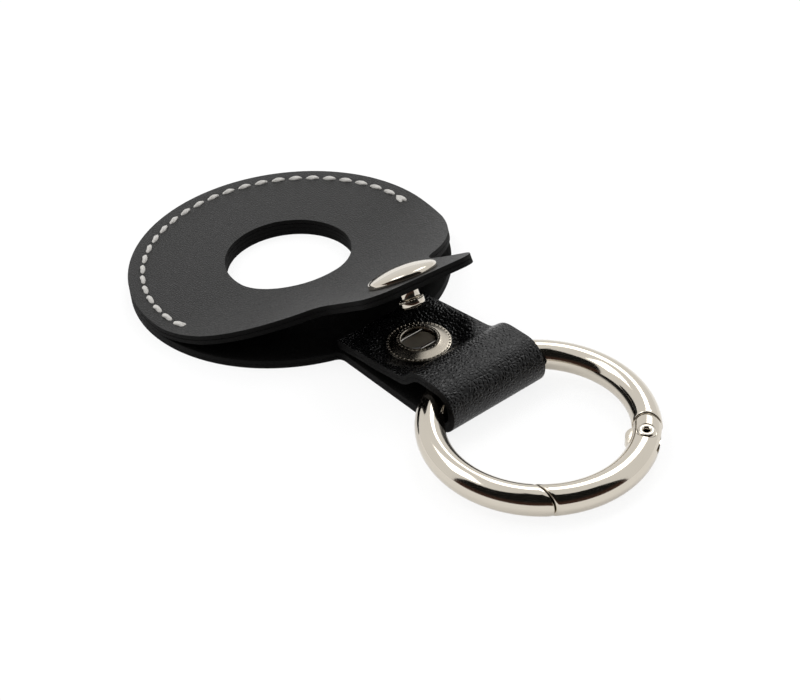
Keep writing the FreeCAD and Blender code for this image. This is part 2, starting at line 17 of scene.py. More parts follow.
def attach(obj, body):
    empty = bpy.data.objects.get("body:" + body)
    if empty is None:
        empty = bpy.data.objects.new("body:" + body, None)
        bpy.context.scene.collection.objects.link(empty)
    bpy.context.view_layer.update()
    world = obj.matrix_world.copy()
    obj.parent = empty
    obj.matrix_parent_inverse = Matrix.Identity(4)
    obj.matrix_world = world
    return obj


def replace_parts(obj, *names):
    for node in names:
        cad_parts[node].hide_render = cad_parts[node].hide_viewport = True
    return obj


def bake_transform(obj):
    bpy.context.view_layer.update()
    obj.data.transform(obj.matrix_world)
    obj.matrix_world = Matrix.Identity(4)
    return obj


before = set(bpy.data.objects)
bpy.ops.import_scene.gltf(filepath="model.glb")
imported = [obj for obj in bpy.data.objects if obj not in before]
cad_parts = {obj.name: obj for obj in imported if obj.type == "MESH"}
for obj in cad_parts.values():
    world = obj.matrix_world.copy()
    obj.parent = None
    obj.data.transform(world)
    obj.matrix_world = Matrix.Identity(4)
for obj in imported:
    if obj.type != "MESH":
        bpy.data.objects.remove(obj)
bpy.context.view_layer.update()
MM = 0.001

# %% [markdown]
# The camera
#
# The photograph was taken with a long lens from above the ring's end, slightly rolled.  The
# ellipses of the disc, the window and the ring gave its place.  A camera can be aimed by a
# constraint, but a roll is easier to state as three axes, so its matrix is written out.

# %% Place the camera
AZIMUTH, ELEVATION, ROLL = math.radians(53.9), math.radians(37.12), math.radians(-4.91)
TARGET = Vector((24.57, -0.73, 0)) * MM
DISTANCE = 207.5 * MM
back = Vector((math.sin(AZIMUTH) * math.cos(ELEVATION),
               -math.cos(AZIMUTH) * math.cos(ELEVATION), math.sin(ELEVATION)))
level = Vector((math.cos(AZIMUTH), math.sin(AZIMUTH), 0))
rise = back.cross(level)
right = math.cos(ROLL) * level + math.sin(ROLL) * rise
up = back.cross(right)
lens = bpy.data.cameras.new("photo_camera")
lens.lens, lens.sensor_width = 73.53, 36
lens.clip_start, lens.clip_end = 0.01, 20
camera = bpy.data.objects.new("photo_camera", lens)
bpy.context.scene.collection.objects.link(camera)
camera.matrix_world = Matrix.Translation(TARGET + DISTANCE * back) @ Matrix(
    (right, up, back)).transposed().to_4x4()
bpy.context.scene.camera = camera
bpy.context.scene.view_settings.view_transform = "Standard"
print("camera stands at", [round(v, 4) for v in camera.location])

# %% [markdown]
# Floor and studio light
#
# The holder lies on a white table under large soft lamps.  Polished metal shows whatever stands
# round it, so a curved black flat stands on the camera's side, as a product photographer sets one
# up.  Only mirrors see it, so it is a painted reflection: it draws the dark band along the ring,
# and its foot glows a warm brown, a painted reflection too.  The floor glows a little for the
# camera, which lifts it to white and still leaves the holder's soft shadow.  It is also nearly
# clear to the camera, so that the ring would still show if the strap bent down past the table's
# edge.  Only the spot under the socket's hole stays plain, because the hole looks dark in the
# photograph.

# %% Helpers for selecting and editing a piece
MERGE = 1e-7


def deselect():
    bpy.ops.object.select_all(action="DESELECT")


def only(obj):
    """Selects this object alone and makes it the active one."""
    deselect()
    obj.select_set(True)
    bpy.context.view_layer.objects.active = obj
    return obj


def new_piece(name):
    """Names the object that an operator has just added, and works its place into its mesh."""
    piece = bpy.context.active_object
    piece.name = piece.data.name = name
    bpy.ops.object.transform_apply(location=True, rotation=True, scale=True)
    return piece


def edit_all():
    """Opens the active piece in edit mode, with all of it selected."""
    bpy.ops.object.mode_set(mode="EDIT")
    bpy.ops.mesh.select_all(action="SELECT")


def face_out(merge=False):
    """Turns all faces of the open piece outwards and leaves edit mode."""
    bpy.ops.mesh.select_all(action="SELECT")
    if merge:
        bpy.ops.mesh.remove_doubles(threshold=MERGE)
    bpy.ops.mesh.normals_make_consistent(inside=False)
    bpy.ops.object.mode_set(mode="OBJECT")


print("points closer than", MERGE, "m count as one")


# %% Helpers for plain shader nodes
def new_material(name):
    material = bpy.data.materials.new(name)
    material.use_nodes = True
    return material, material.node_tree, material.node_tree.nodes["Principled BSDF"]


def give(tree, socket, value):
    """Sets an input to a fixed value, or links it to another node's output."""
    if isinstance(value, bpy.types.NodeSocket):
        tree.links.new(value, socket)
    else:
        socket.default_value = value


def feed(tree, made, **inputs):
    """Gives a node's inputs their values, by name."""
    for label, value in inputs.items():
        give(tree, made.inputs[label.replace("_", " ")], value)


def node(tree, kind, **settings):
    """A shader node; a setting with a capital is an input, any other one a property."""
    made = tree.nodes.new(kind)
    for key in [key for key in settings if key[0].islower()]:
        setattr(made, key, settings.pop(key))
    feed(tree, made, **settings)
    return made


def math_node(tree, operation, *values):
    """The result of a Math node; each value is a number or another node's output."""
    made = node(tree, "ShaderNodeMath", operation=operation)
    for socket, value in zip(made.inputs, values):
        give(tree, socket, value)
    return made.outputs[0]


def span(tree, value, low, high, **limits):
    """Stretches a value from 0 to 1, or from other limits, to a range of its own."""
    made = node(tree, "ShaderNodeMapRange", Value=value, To_Min=low, To_Max=high, **limits)
    return made.outputs[0]


def seen_ray(tree):
    """1 where the camera or a mirror looks, 0 for diffuse light."""
    rays = node(tree, "ShaderNodeLightPath").outputs
    direct = math_node(tree, "MAXIMUM", rays["Is Camera Ray"], rays["Is Glossy Ray"])
    return math_node(tree, "MAXIMUM", direct, rays["Is Transmission Ray"])


print("shader helpers:", [f.__name__ for f in (node, math_node, span, seen_ray)])

# %% Lay the floor
SOCKET_X = 27.7 * MM
SPOT_INSIDE, SPOT_OUTSIDE = 3 * MM, 4 * MM
FLOOR_SIZE, FLOOR_GLOW, FLOOR_ALPHA = 6, 0.4, 0.25
deselect()
bpy.ops.mesh.primitive_plane_add(size=FLOOR_SIZE)
floor = new_piece("floor")
paper, tree, surface = new_material("white_paper")
away = node(tree, "ShaderNodeVectorMath", operation="DISTANCE",
            Vector=node(tree, "ShaderNodeTexCoord").outputs["Object"])
away.inputs[1].default_value = (SOCKET_X, 0, 0)
clear = span(tree, away.outputs["Value"], 0, 1, From_Min=SPOT_INSIDE, From_Max=SPOT_OUTSIDE)
seen = math_node(tree, "MULTIPLY", seen_ray(tree), clear)
from_camera = node(tree, "ShaderNodeLightPath").outputs["Is Camera Ray"]
looked_at = math_node(tree, "MULTIPLY", from_camera, clear)
feed(tree, surface, Base_Color=(0.9, 0.9, 0.9, 1), Roughness=0.9, Specular_IOR_Level=0.1,
     Emission_Color=(1, 1, 1, 1), Emission_Strength=math_node(tree, "MULTIPLY", seen, FLOOR_GLOW),
     Alpha=span(tree, looked_at, 1, FLOOR_ALPHA))
floor.data.materials.append(paper)
print("floor of", FLOOR_SIZE, "m, plain round x =", SOCKET_X / MM, "mm")

# %% Light the stage
WORLD_LIGHT, WORLD_SEEN = 0.55, 1
LAMP_AIM = Vector((0.024, 0, 0.004))
world = bpy.data.worlds.new("studio")
bpy.context.scene.world = world
world.use_nodes = True
tree = world.node_tree
feed(tree, tree.nodes["Background"], Color=(1, 1, 1, 1),
     Strength=span(tree, seen_ray(tree), WORLD_LIGHT, WORLD_SEEN))


def lamp(name, place, size, power):
    """A rectangular soft lamp that points at the holder."""
    data = bpy.data.lights.new(name, "AREA")
    data.shape, data.size, data.size_y = "RECTANGLE", *size
    data.energy = power
    made = bpy.data.objects.new(name, data)
    bpy.context.scene.collection.objects.link(made)
    made.location = place
    made.rotation_euler = (LAMP_AIM - made.location).to_track_quat("-Z", "Y").to_euler()
    print(name, "of", power, "W")


lamp("softbox_right", (-0.21, 0.47, 0.61), (0.36, 0.36), 1.15)
lamp("softbox_left", (-0.33, -0.18, 0.71), (0.42, 0.3), 1.1)

# %% Stand the dark flat behind the camera, a painted reflection
# Angles are in degrees: turns count from the camera's side, heights from the floor.
CAMERA_SIDE, FLAT_LEFT, FLAT_RIGHT = -36, -74, 68
FLAT_FOOT, FLAT_TOP, FLAT_SLOPE = 1.5, 88, 0.45
FLAT_RADIUS, REFLECTED_GLOW_TOP = 0.9, 0.45
deselect()
bpy.ops.mesh.primitive_uv_sphere_add(segments=120, ring_count=60, radius=FLAT_RADIUS)
flat = new_piece("flat_behind_camera")
bpy.ops.object.mode_set(mode="EDIT")
bpy.ops.mesh.select_mode(type="FACE")
bpy.ops.mesh.select_all(action="DESELECT")
bpy.ops.object.mode_set(mode="OBJECT")
for face in flat.data.polygons:
    x, y, z = face.center
    turn = (math.degrees(math.atan2(y, x)) - CAMERA_SIDE + 180) % 360 - 180
    height = math.degrees(math.asin(z / FLAT_RADIUS))
    face.select = not (FLAT_LEFT < turn < FLAT_RIGHT
                       and FLAT_FOOT < height < FLAT_TOP - FLAT_SLOPE * abs(turn))
bpy.ops.object.mode_set(mode="EDIT")
bpy.ops.mesh.delete(type="FACE")
bpy.ops.mesh.select_mode(type="VERT")
bpy.ops.object.mode_set(mode="OBJECT")
board, tree, surface = new_material("flat_behind_camera")
parts = node(tree, "ShaderNodeSeparateXYZ",
             Vector=node(tree, "ShaderNodeTexCoord").outputs["Object"])
# The foot of the flat glows a warm brown that only mirrors see: a painted reflection.
feed(tree, surface, Base_Color=(0.006, 0.006, 0.005, 1), Roughness=1,
     Emission_Color=(0.075, 0.03, 0.018, 1),
     Emission_Strength=span(tree, parts.outputs["Z"], 0, 1, From_Min=REFLECTED_GLOW_TOP, From_Max=0))
flat.data.materials.append(board)
# Only glossy rays see the flat, so its dark band in the metal is a painted reflection.
for ray in ("camera", "diffuse", "transmission", "shadow", "volume_scatter"):
    setattr(flat, "visible_" + ray, False)
print("dark flat keeps", len(flat.data.polygons), "faces")

# %% [markdown]
# Finishes
#
# All leather here is coated and embossed with a pebble grain: small domed cells between fine
# creases.  A Voronoi texture gives cells, and its distance to the nearest cell wall gives the
# domes.  Disc, strap and lining share it at other scales and depths, so it is one node group.
# The metal pieces share a second group for the faint haze and rubbing marks of polished plate.

# %% Build the two shared node groups
DOME_EDGE, CREASE_EDGE, SPECKLE = 0.32, 0.12, 0.25


def new_group(name, inputs, outputs):
    """An empty group; each input has its starting value, and None stands for a vector."""
    group = bpy.data.node_groups.new(name, "ShaderNodeTree")
    for label, value in inputs.items():
        kind = "NodeSocketVector" if value is None else "NodeSocketFloat"
        socket = group.interface.new_socket(label, in_out="INPUT", socket_type=kind)
        if value is not None:
            socket.default_value = value
    for label in outputs:
        group.interface.new_socket(label, in_out="OUTPUT", socket_type="NodeSocketFloat")
    return group, node(group, "NodeGroupInput").outputs, node(group, "NodeGroupOutput")


def pebble_group():
    """Domed cells with wandering walls, the creases between them, and large soft patches."""
    group, given, result = new_group(
        "pebble_grain", {"Vector": None, "Cells": 2500.0, "Stretch": 0.35},
        ("Height", "Crease", "Patch"))

    def noise(scale, detail):
        return node(group, "ShaderNodeTexNoise", Vector=given["Vector"], Scale=scale,
                    Detail=detail).outputs

    centred = node(group, "ShaderNodeVectorMath", operation="SUBTRACT",
                   Vector=noise(scale=900.0, detail=2.0)["Color"])
    centred.inputs[1].default_value = (0.5, 0.5, 0.5)
    wander = node(group, "ShaderNodeVectorMath", operation="SCALE", Vector=centred.outputs[0],
                  Scale=math_node(group, "MULTIPLY", given["Stretch"], MM))
    bent = node(group, "ShaderNodeVectorMath", operation="ADD", Vector=given["Vector"])
    give(group, bent.inputs[1], wander.outputs[0])
    walls = node(group, "ShaderNodeTexVoronoi", feature="DISTANCE_TO_EDGE", Randomness=0.9,
                 Vector=bent.outputs[0], Scale=given["Cells"]).outputs["Distance"]
    dome = span(group, walls, 0, 1, From_Max=DOME_EDGE, interpolation_type="SMOOTHSTEP")
    fine = math_node(group, "MULTIPLY", noise(scale=9000.0, detail=3.0)["Fac"], SPECKLE)
    feed(group, result, Height=math_node(group, "ADD", dome, fine),
         Crease=span(group, walls, 1, 0, From_Max=CREASE_EDGE),
         Patch=noise(scale=160.0, detail=3.0)["Fac"])
    return group


def rubbing_group():
    """Clouds of haze, and fine marks drawn out in one direction."""
    group, given, result = new_group(
        "rubbed_plate", {"Vector": None, "Fineness": 1.0}, ("Haze", "Height"))
    sized = node(group, "ShaderNodeVectorMath", operation="SCALE", Vector=given["Vector"],
                 Scale=given["Fineness"]).outputs[0]
    cloud = node(group, "ShaderNodeTexNoise", Vector=sized, Scale=260.0, Detail=4.0, Roughness=0.6)
    drawn = node(group, "ShaderNodeMapping", Vector=sized, Scale=(6000.0, 900.0, 6000.0),
                 Rotation=(0.3, 0.5, 0.7))
    marks = node(group, "ShaderNodeTexNoise", Vector=drawn.outputs[0], Scale=1.0, Detail=2.0)
    feed(group, result, Haze=cloud.outputs["Fac"], Height=marks.outputs["Fac"])
    return group


PEBBLE, RUBBING = pebble_group(), rubbing_group()
print("node groups:", PEBBLE.name, RUBBING.name)

# %% [markdown]
# Leather, thread and metal
#
# Each material is a Principled shader.  The groups only change colour, roughness and bump from
# place to place; what is the same all over is set on the shader's own sockets.

# %% Helpers that lay a group on a material
def place_group(tree, group, **values):
    """The outputs of a shared group, laid on the piece's own coordinates."""
    where = node(tree, "ShaderNodeTexCoord").outputs["Object"]
    return node(tree, "ShaderNodeGroup", node_tree=group, Vector=where, **values).outputs


def bump(tree, height, depth, strength=1.0):
    made = node(tree, "ShaderNodeBump", Height=height, Distance=depth, Strength=strength)
    return made.outputs["Normal"]


def ramp(tree, factor, low, high):
    """A colour between two others."""
    mix = node(tree, "ShaderNodeMix", data_type="RGBA", Factor=factor, A=(*low, 1), B=(*high, 1))
    return mix.outputs["Result"]


print("groups read Object coordinates")

# %% Mix the materials
# Cell wander, lighter worn patches at random, and the painted shade that darkens the creases.
CELL_WANDER, WORN, CREASE_SHADE = 450.0, 1.35, 0.45


def leather(name, tone, cells, depth, rough, gloss):
    """Embossed leather: the domes are smooth, the creases between them rough and darkened by
    painted shade.
    """
    material, tree, surface = new_material(name)
    grain = place_group(tree, PEBBLE, Cells=cells, Stretch=CELL_WANDER / cells)
    worn = ramp(tree, grain["Patch"], tone, [WORN * t for t in tone])
    # Painted shade: the creases take a darker copy of the tone.
    shade = node(tree, "ShaderNodeMix", data_type="RGBA", Factor=grain["Crease"], A=worn,
                 B=(*[CREASE_SHADE * t for t in tone], 1))
    feed(tree, surface, Base_Color=shade.outputs["Result"], Specular_IOR_Level=gloss,
         Roughness=span(tree, grain["Crease"], *rough), Normal=bump(tree, grain["Height"], depth))
    return material


def cut_edge():
    """The raw side of the leather: fibres under a thin black edge dye."""
    material, tree, surface = new_material("leather_cut_edge")
    grain = place_group(tree, PEBBLE, Cells=5200.0, Stretch=0.1)
    dye = ramp(tree, grain["Patch"], (0.0016, 0.0015, 0.0014), (0.0045, 0.0042, 0.004))
    feed(tree, surface, Base_Color=dye, Roughness=span(tree, grain["Crease"], 0.62, 0.85),
         Specular_IOR_Level=0.09, Normal=bump(tree, grain["Height"], 0.04 * MM))
    return material


def thread():
    """Waxed off-white thread, with painted shade between its fibres."""
    material, tree, surface = new_material("waxed_thread")
    grain = place_group(tree, PEBBLE, Cells=9000.0, Stretch=0.05)
    # Painted shade: the thread is darker between its fibres.
    fibres = ramp(tree, grain["Crease"], (0.92, 0.9, 0.86), (0.62, 0.59, 0.55))
    feed(tree, surface, Base_Color=fibres, Roughness=span(tree, grain["Patch"], 0.7, 0.9),
         Sheen_Weight=0.2, Normal=bump(tree, grain["Height"], 0.02 * MM))
    return material


def plate(name, tone, rough, dirt):
    """Polished metal plate, a little duller and darker in patches."""
    material, tree, surface = new_material(name)
    rub = place_group(tree, RUBBING)
    tarnish = ramp(tree, rub["Haze"], [dirt * t for t in tone], tone)
    feed(tree, surface, Base_Color=tarnish, Roughness=span(tree, rub["Haze"], *rough), Metallic=1,
         Normal=bump(tree, rub["Height"], 0.002 * MM, 0.25))
    return material


FACE = leather("disc_leather", (0.017, 0.0165, 0.016), 2700.0, 0.07 * MM, (0.46, 0.62), 0.36)
STRAP = leather("strap_leather", (0.003, 0.003, 0.0033), 2000.0, 0.055 * MM, (0.23, 0.42), 0.29)
LINING = leather("lining_leather", (0.004, 0.0039, 0.0037), 3000.0, 0.03 * MM, (0.65, 0.8), 0.12)
EDGE, THREAD = cut_edge(), thread()
NICKEL = plate("polished_nickel", (0.6, 0.552, 0.475), (0.06, 0.13), 0.94)
AGED = plate("dulled_nickel", (0.56, 0.51, 0.43), (0.2, 0.32), 0.8)
WIRE = plate("spring_wire", (0.6, 0.58, 0.54), (0.16, 0.3), 0.85)
print("materials:", [m.name for m in (FACE, STRAP, LINING, EDGE, THREAD, NICKEL, AGED, WIRE)])

# %% [markdown]
# Cutting the leather
#
# A leather worker cuts a flat blank first.  The disc with its tab, or with its strap, can be seen
# whole from the disc's centre, so the blank is a circle at the window's edge, extruded outwards
# ring by ring.  Each ring is then slid along its ray towards the blank's outline.  That gives
# clean quads which follow the edge and bend well.

# %% Draw the outlines of the two blanks
LEATHER = 0.6 * MM
DISC, WINDOW = 22 * MM, 8.8 * MM
STITCH_RADIUS = 20 * MM
STRAP_HALF, STRAP_END = 7.25 * MM, 31.86 * MM
TAB_HALF, TAB_TIP = 8.3 * MM, 33.4 * MM


def arc_points(centre, radius, start, end, count):
    turns = np.linspace(start, end, count, endpoint=False)
    return [(centre[0] + radius * math.cos(a), centre[1] + radius * math.sin(a)) for a in turns]


def line_points(start, end, count):
    return [tuple(p) for p in np.linspace(start, end, count, endpoint=False)]


def half_outline(half, tip, fillet, corner, counts):
    """One side of a blank, from the far side of the disc to the middle of its end."""
    hub = (math.sqrt((DISC + fillet) ** 2 - (half + fillet) ** 2), half + fillet)
    meet = math.atan2(hub[1], hub[0])
    points = arc_points((0, 0), DISC, math.pi, meet, counts[0])
    points += arc_points(hub, fillet, meet + math.pi, 1.5 * math.pi, counts[1])
    points += line_points((hub[0], half), (tip - corner, half), counts[2])
    if corner:
        points += arc_points((tip - corner, half - corner), corner, math.pi / 2, 0, counts[3])
    return points + line_points((tip, half - corner), (tip, 0), counts[4]) + [(tip, 0)]


def whole_outline(*sizes):
    """Both sides, in order of rising angle from the middle of the end."""
    side = half_outline(*sizes)
    return np.array(side[::-1] + [(x, -y) for x, y in side[1:-1]])


TAB_OUTLINE = whole_outline(TAB_HALF, TAB_TIP, 3.2 * MM, 3.4 * MM, (110, 10, 14, 14, 8))
STRAP_OUTLINE = whole_outline(STRAP_HALF, STRAP_END, 1.2 * MM, 0, (114, 6, 22, 0, 14))
print("outline points:", len(TAB_OUTLINE), len(STRAP_OUTLINE))

# %% Cut a flat blank ring by ring
RINGS = [0.012, 0.04] + [0.08 + 0.07 * i for i in range(11)] + [
    0.807, 0.825, 0.837, 0.848, 0.859, 0.871, 0.889, 0.92, 0.955, 0.98, 0.992, 1.0]


def points_of(mesh):
    flat = np.empty(len(mesh.vertices) * 3)
    mesh.vertices.foreach_get("co", flat)
    return flat.reshape(-1, 3)


def set_points(mesh, points):
    mesh.vertices.foreach_set("co", np.asarray(points, float).ravel())
    mesh.update()


def blank(name, outline, height):
    """A flat sheet from the window's edge to the outline, one ring of points for each share."""
    deselect()
    bpy.ops.mesh.primitive_circle_add(vertices=len(outline), radius=WINDOW)
    sheet = new_piece(name)
    edit_all()
    radius = WINDOW
    for share in RINGS:
        wider = WINDOW + (DISC - WINDOW) * share
        bpy.ops.mesh.extrude_region_move()
        bpy.ops.transform.resize(value=(wider / radius, wider / radius, 1))
        radius = wider
    bpy.ops.object.mode_set(mode="OBJECT")
    points = points_of(sheet.data)
    share = (np.hypot(points[:, 0], points[:, 1]) - WINDOW) / (DISC - WINDOW)
    step = 2 * math.pi / len(outline)
    index = np.rint(np.arctan2(points[:, 1], points[:, 0]) / step).astype(int) % len(outline)
    goal = outline[index]
    rim = goal / np.linalg.norm(goal, axis=1)[:, None] * WINDOW
    points[:, :2] = rim + (goal - rim) * share[:, None]
    points[:, 2] = height
    set_points(sheet.data, points)
    return sheet


print("a blank has", len(RINGS) + 1, "rings of points")

# %% Give a sheet thickness and soft edges
LAYER, SOFT_EDGE = 0.57 * MM, 0.13 * MM
# Edges are rounded or shaded smooth by the angle between their faces, in degrees.
BEVEL_FROM, SMOOTH_LEATHER, SMOOTH_TURNED, SMOOTH_WIRE = 50, 40, 38, 50


def face_up(sheet, sign):
    """Turns all faces of an open sheet so that its first face looks up (1) or down (-1)."""
    only(sheet)
    edit_all()
    face_out()
    if sheet.data.polygons[0].normal.z * sign < 0:
        sheet.data.flip_normals()


def soften(piece, width):
    """Rounds the sharp edges of the active piece."""
    rounding = piece.modifiers.new("soft_edge", "BEVEL")
    rounding.width, rounding.segments = width, 3
    rounding.limit_method, rounding.angle_limit = "ANGLE", math.radians(BEVEL_FROM)
    bpy.ops.object.modifier_apply(modifier="soft_edge")


def smooth_out(piece, degrees=SMOOTH_LEATHER):
    """Smooth shading, but for edges sharper than this."""
    only(piece)
    bpy.ops.object.shade_smooth_by_angle(angle=math.radians(degrees))
    print(piece.name, len(piece.data.polygons), "faces")
    return piece


def thicken(sheet, skin):
    """Gives a sheet thickness behind its face, softened edges and a raw cut rim."""
    only(sheet)
    sheet.data.materials.append(skin)
    sheet.data.materials.append(EDGE)
    wall = sheet.modifiers.new("thickness", "SOLIDIFY")
    wall.thickness, wall.offset = LAYER, -1
    wall.use_even_offset, wall.material_offset_rim = True, 1
    bpy.ops.object.modifier_apply(modifier="thickness")
    soften(sheet, SOFT_EDGE)
    smooth_out(sheet)


print("a layer is", LAYER / MM, "mm thick")

# %% Punch holes with a Boolean cut
PUNCH_LENGTH = 20 * MM


def combine(piece, tool, operation):
    """Cuts a tool out of a piece, or joins it on, and removes the tool."""
    only(piece)
    step = piece.modifiers.new("combine", "BOOLEAN")
    step.operation, step.solver, step.object = operation, "EXACT", tool
    bpy.ops.object.modifier_apply(modifier="combine")
    bpy.data.objects.remove(tool)
    return piece


def round_tool(name, place, radius, thick):
    deselect()
    bpy.ops.mesh.primitive_cylinder_add(vertices=72, radius=radius, depth=thick, location=place)
    return new_piece(name)


def punch(sheet, radius):
    """A round hole for the snap's metal, through all the leather there."""
    tool = round_tool("punch", (SOCKET_X, 0, 0), radius, PUNCH_LENGTH)
    return combine(sheet, tool, "DIFFERENCE")


print("holes of the snap at x =", SOCKET_X / MM, "mm")

# %% [markdown]
# Back disc, strap and fold
#
# The back is one long piece: the disc runs out into a strap, which goes round the ring and comes
# back over itself under the snap's socket.  The strap's end edge is extruded step by step along a
# side profile.  The socket's rivet pulls the upper layer down, so the leather is sunk round it
# and rises towards the ring, as the photograph shows.  Two layers, face and lining, follow the
# same profile a leather's thickness apart.

# %% Lay out the side profile of the fold
FOLD_X, FOLD_RADIUS, PROFILE_STEP = 39.85 * MM, 3.2 * MM, 0.36 * MM
UPPER = np.array([(39.85, 6.4), (36.9, 6.4), (35.9, 6.22), (35, 5.72), (34.2, 5.02), (33.5, 4.42),
                  (32.8, 4.16), (31.9, 4.03), (30.8, 3.91), (29.5, 3.77), (28, 3.6), (26.6, 3.44),
                  (25, 3.26), (23.4, 3.06), (21.8, 2.84), (20.3, 2.62)]) * MM


def smooth_path(points, rounds=2):
    """Corner cutting: each round replaces a corner by two points a quarter away from it."""
    for _ in range(rounds):
        first, second = points[:-1], points[1:]
        inner = np.stack([0.75 * first + 0.25 * second, 0.25 * first + 0.75 * second], 1)
        points = np.vstack([points[:1], inner.reshape(-1, 2), points[-1:]])
    return points


def evenly(points, step):
    """The same path with its points a fixed step apart."""
    run = np.append(0, np.cumsum(np.linalg.norm(np.diff(points, axis=0), axis=1)))
    stops = np.linspace(0, run[-1], round(run[-1] / step) + 1)
    return np.column_stack([np.interp(stops, run, points[:, axis]) for axis in (0, 1)])


def fold_profile():
    """The outer face of the strap from the end of the flat blank to the free end above it."""
    turn = arc_points((FOLD_X, FOLD_RADIUS), FOLD_RADIUS, -math.pi / 2, math.pi / 2, 48)
    route = np.vstack([[(STRAP_END, 0)], turn, smooth_path(UPPER)])
    return evenly(route, PROFILE_STEP)[1:]


def moved_in(path, depth):
    """The path, shifted to its left by depth: the next layer of leather."""
    along = np.gradient(path, axis=0)
    along /= np.linalg.norm(along, axis=1)[:, None]
    return path + depth * np.stack([-along[:, 1], along[:, 0]], 1)


PROFILE = fold_profile()
print("fold profile of", len(PROFILE), "points")

# %% Extrude the strap along the profile
NEAR = 0.01 * MM


def strap_sheet(name, depth):
    """A blank whose end edge is drawn out along the profile, depth further in."""
    sheet = only(blank(name, STRAP_OUTLINE, depth))
    at_end = points_of(sheet.data)[:, 0] > STRAP_END - NEAR
    bpy.ops.object.mode_set(mode="EDIT")
    bpy.ops.mesh.select_mode(type="VERT")
    bpy.ops.mesh.select_all(action="DESELECT")
    bpy.ops.object.mode_set(mode="OBJECT")
    sheet.data.vertices.foreach_set("select", at_end)
    for edge in sheet.data.edges:
        edge.select = all(at_end[v] for v in edge.vertices)
    bpy.ops.object.mode_set(mode="EDIT")
    here = np.array([STRAP_END, depth])
    for goal in moved_in(PROFILE, depth):
        move = goal - here
        bpy.ops.mesh.extrude_region_move(TRANSFORM_OT_translate={"value": (move[0], 0, move[1])})
        here = goal
    bpy.ops.object.mode_set(mode="OBJECT")
    return sheet


strap_face = strap_sheet("strap_face", 0)
strap_lining = strap_sheet("strap_lining", LEATHER)
print("strap sheets of", len(strap_face.data.polygons), "faces each")

# %% Sink the strap round the socket and along the seam
# The rivet holds the upper run within HELD of its axis and lets go of it at FREE.
UPPER_ABOVE, UPPER_BEFORE = 1.25 * MM, 34 * MM
HELD, FREE = 4.1 * MM, 7.3 * MM
# The seam starts and ends between these angles, in degrees.
SEAM_START, SEAM_END = (84.5, 87), (282.4, 285)
GROOVE_HALF, BACK_GROOVE, FRONT_GROOVE = 0.42 * MM, 0.16 * MM, 0.07 * MM
STRAP_HOLE = 2.6 * MM


def smoothstep(low, high, values):
    share = np.clip((values - low) / (high - low), 0, 1)
    return share * share * (3 - 2 * share)


def sink_round_socket(sheet, depth):
    """Pulls the upper run of the strap down onto the lower one where the rivet holds it."""
    points = points_of(sheet.data)
    upper = (points[:, 2] > UPPER_ABOVE) & (points[:, 0] < UPPER_BEFORE)
    away = np.hypot(points[:, 0] - SOCKET_X, points[:, 1])
    hold = 1 - smoothstep(HELD, FREE, away)
    flat = 4 * LEATHER - depth
    points[:, 2] -= upper * hold * np.maximum(points[:, 2] - flat, 0)
    set_points(sheet.data, points)


def sew_groove(sheet, height, depth, facing):
    """Sinks a sheet a little along the row of stitches."""
    points = points_of(sheet.data)
    radius = np.hypot(points[:, 0], points[:, 1])
    angle = np.degrees(np.arctan2(points[:, 1], points[:, 0])) % 360
    row = smoothstep(*SEAM_START, angle) * (1 - smoothstep(*SEAM_END, angle))
    pull = np.exp(-((radius - STITCH_RADIUS) / GROOVE_HALF) ** 2) * row
    points[:, 2] -= facing * depth * pull * (np.abs(points[:, 2] - height) < NEAR)
    set_points(sheet.data, points)


sew_groove(strap_face, 0, BACK_GROOVE, -1)
for sheet, depth, skin in ((strap_face, 0, STRAP), (strap_lining, LEATHER, LINING)):
    sink_round_socket(sheet, depth)
    face_up(sheet, -1)
    thicken(sheet, skin)
    smooth_out(punch(sheet, STRAP_HOLE))
    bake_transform(sheet)
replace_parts(strap_face, "back_outer", "tongue_outer", "loop_outer")
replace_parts(strap_lining, "back_lining", "tongue_lining", "loop_lining")

# %% [markdown]
# Front disc and closing tab
#
# The front is stitched to the back along its far half.  The near half is free, and bends up twice:
# a little at the end of the seam, and more before the snap.  The flat blank is folded in code,
# each bend spread over some millimetres, so that the leather curves as it does in the photograph.
# One piece may bend across one joint only, so the thick blank is first cut in two with a bisect in
# the stretch between the bends, where both halves move alike and no seam shows.

# %% Fold the front
FLAP_MID = 3 * LEATHER
ROOT = {"distance": 4.85 * MM, "skew": math.radians(0.5),
        "angle": math.radians(10.1), "lift": 0.15 * MM}
BREAK = {"distance": 14.36 * MM, "skew": math.radians(-8.3),
         "angle": math.radians(21.8), "lift": 0.0}
ROOT_REACH, BREAK_REACH = 3.6 * MM, 10 * MM


def fold(points, distance, skew, angle, lift, reach):
    """Bends what lies past a line upwards; the bend is spread over reach on both sides of it."""
    across = np.array([math.cos(skew), math.sin(skew)])
    along = np.array([-math.sin(skew), math.cos(skew)])
    run = points[:, :2] @ across - distance
    side = points[:, :2] @ along
    height = points[:, 2] - FLAP_MID
    start, corner = np.array([-reach, 0]), np.array([-lift / math.tan(angle), 0])
    way = np.array([math.cos(angle), math.sin(angle)])
    end = np.array([0, lift]) + reach * way
    share = np.clip((run + reach) / (2 * reach), 0, 1)[:, None]
    line = (1 - share) ** 2 * start + 2 * share * (1 - share) * corner + share ** 2 * end
    tangent = (1 - share) * (corner - start) + share * (end - corner)
    tangent /= np.linalg.norm(tangent, axis=1)[:, None]
    line = np.where((run > reach)[:, None], end + (run - reach)[:, None] * way, line)
    line[:, 0] = np.where(run < -reach, run, line[:, 0])
    bent = line + height[:, None] * np.stack([-tangent[:, 1], tangent[:, 0]], 1)
    flat = np.outer(bent[:, 0] + distance, across) + np.outer(side, along)
    return np.column_stack([flat, FLAP_MID + bent[:, 1]])


